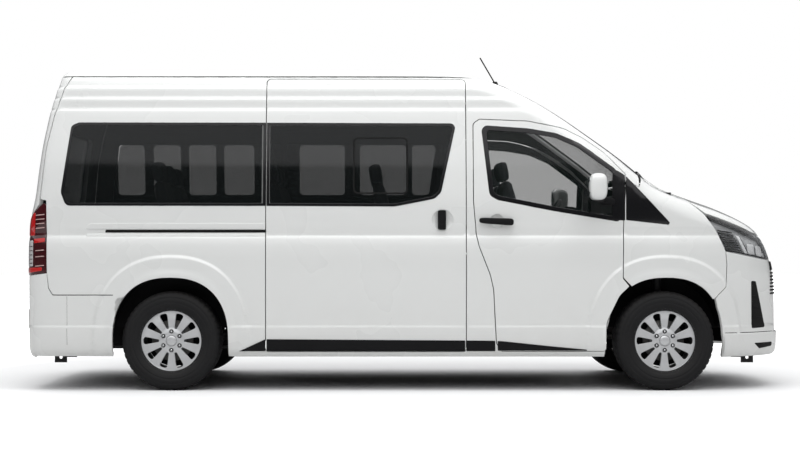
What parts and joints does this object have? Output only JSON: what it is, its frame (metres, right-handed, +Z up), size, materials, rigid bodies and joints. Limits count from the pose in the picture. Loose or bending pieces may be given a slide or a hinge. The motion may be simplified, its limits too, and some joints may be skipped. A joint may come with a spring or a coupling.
{
  "type": "passenger van",
  "caption": "White high-roof passenger van with a side sliding door, tinted windows and alloy wheels.",
  "frame": {"origin": "on the ground, under the middle of the overall box", "axes": "+X towards the front bumper, +Y towards the vehicle's left side, +Z up"},
  "size_m": [5.5697, 2.296, 2.5246],
  "materials": {
    "paint": "pearl white",
    "black_plastic": "grained",
    "gloss_black": "gloss",
    "glass": "tinted",
    "lamp_clear": "clear",
    "lamp_red": "red",
    "tyre": "matt",
    "alloy": "machined",
    "steel": "dull",
    "chassis_black": "satin",
    "cast": "cast",
    "fabric": "woven",
    "trim": "grained",
    "carpet": "carpet"
  },
  "bodies": {
    "body": {"aerial": "black_plastic", "body_side_left": "paint", "body_side_right": "paint", "bulkhead": "chassis_black", "chassis_frame": "chassis_black", "cowl_panel": "black_plastic", "dashboard": "trim", "engine_block": "cast", "exhaust": "steel", "floor_pan": "carpet", "front_bumper": "paint", "front_fenders": "paint", "front_seats": "fabric", "front_suspension": "chassis_black", "fuel_tank": "black_plastic", "grille": "gloss_black", "headlamps": "lamp_clear", "leaf_springs": "steel", "propeller_shaft": "steel", "radiator": "chassis_black", "rear_axle": "cast", "rear_bumper": "paint", "rear_seats": "fabric", "roof_panel": "paint", "side_windows": "glass", "slide_rail": "paint", "sliding_door_handle": "black_plastic", "sliding_door_panel": "paint", "sliding_door_window": "glass", "spare_wheel": "tyre", "tail_lamps": "lamp_red", "tow_eyes": "steel", "wheel_housings": "black_plastic", "windscreen": "glass", "wipers": "black_plastic"},
    "front_door_right": {"door_right_panel": "paint", "door_right_window": "glass", "door_right_mirror": "paint", "door_right_handle": "black_plastic"},
    "steer_right": {"knuckle_right": "cast"},
    "wheel_front_right": {"tyre_front_right": "tyre", "rim_front_right": "alloy"},
    "wheel_rear_right": {"tyre_rear_right": "tyre", "rim_rear_right": "alloy"},
    "front_door_left": {"door_left_panel": "paint", "door_left_window": "glass", "door_left_mirror": "paint", "door_left_handle": "black_plastic"},
    "steer_left": {"knuckle_left": "cast"},
    "wheel_front_left": {"tyre_front_left": "tyre", "rim_front_left": "alloy"},
    "wheel_rear_left": {"tyre_rear_left": "tyre", "rim_rear_left": "alloy"},
    "tailgate": {"tailgate_panel": "paint", "tailgate_window": "glass"},
    "bonnet": {"bonnet_panel": "paint"},
    "steering_wheel_body": {"steering_wheel": "trim"}
  },
  "joints": [
    {"name": "front_door_right_hinge", "type": "hinge", "parent": "body", "child": "front_door_right", "pos_m": [1.536, -0.9625, 1], "axis": [0, 0, 1], "range_deg": [0, 65]},
    {"name": "front_door_left_hinge", "type": "hinge", "parent": "body", "child": "front_door_left", "pos_m": [1.536, 0.9625, 1], "axis": [0, 0, -1], "range_deg": [0, 65]},
    {"name": "tailgate_hinge", "type": "hinge", "parent": "body", "child": "tailgate", "pos_m": [-2.566, 0, 2.277], "axis": [0, 1, 0], "range_deg": [0, 85]},
    {"name": "bonnet_hinge", "type": "hinge", "parent": "body", "child": "bonnet", "pos_m": [1.878, 0, 1.541], "axis": [0, -1, 0], "range_deg": [0, 45]},
    {"name": "steer_left_pivot", "type": "hinge", "parent": "body", "child": "steer_left", "pos_m": [1.84, 0.7775, 0.357], "axis": [0, 0, 1], "range_deg": [-32, 32]},
    {"name": "steer_right_pivot", "type": "hinge", "parent": "body", "child": "steer_right", "pos_m": [1.84, -0.7775, 0.357], "axis": [0, 0, 1], "range_deg": [-32, 32]},
    {"name": "wheel_front_left_spin", "type": "hinge", "parent": "steer_left", "child": "wheel_front_left", "pos_m": [1.84, 0.8175, 0.357], "axis": [0, 1, 0], "continuous": true},
    {"name": "wheel_front_right_spin", "type": "hinge", "parent": "steer_right", "child": "wheel_front_right", "pos_m": [1.84, -0.8175, 0.357], "axis": [0, 1, 0], "continuous": true},
    {"name": "wheel_rear_left_spin", "type": "hinge", "parent": "body", "child": "wheel_rear_left", "pos_m": [-1.71, 0.8175, 0.357], "axis": [0, 1, 0], "continuous": true},
    {"name": "wheel_rear_right_spin", "type": "hinge", "parent": "body", "child": "wheel_rear_right", "pos_m": [-1.71, -0.8175, 0.357], "axis": [0, 1, 0], "continuous": true},
    {"name": "steering_wheel_turn", "type": "hinge", "parent": "body", "child": "steering_wheel_body", "pos_m": [1.15, 0.4, 1.26], "axis": [-0.848, 0, 0.5299], "range_deg": [-448, 448]}
  ],
  "couplings": [
    {"joint": "steer_right_pivot", "follows": "steer_left_pivot", "ratio": 1},
    {"joint": "steering_wheel_turn", "follows": "steer_left_pivot", "ratio": 14}
  ]
}
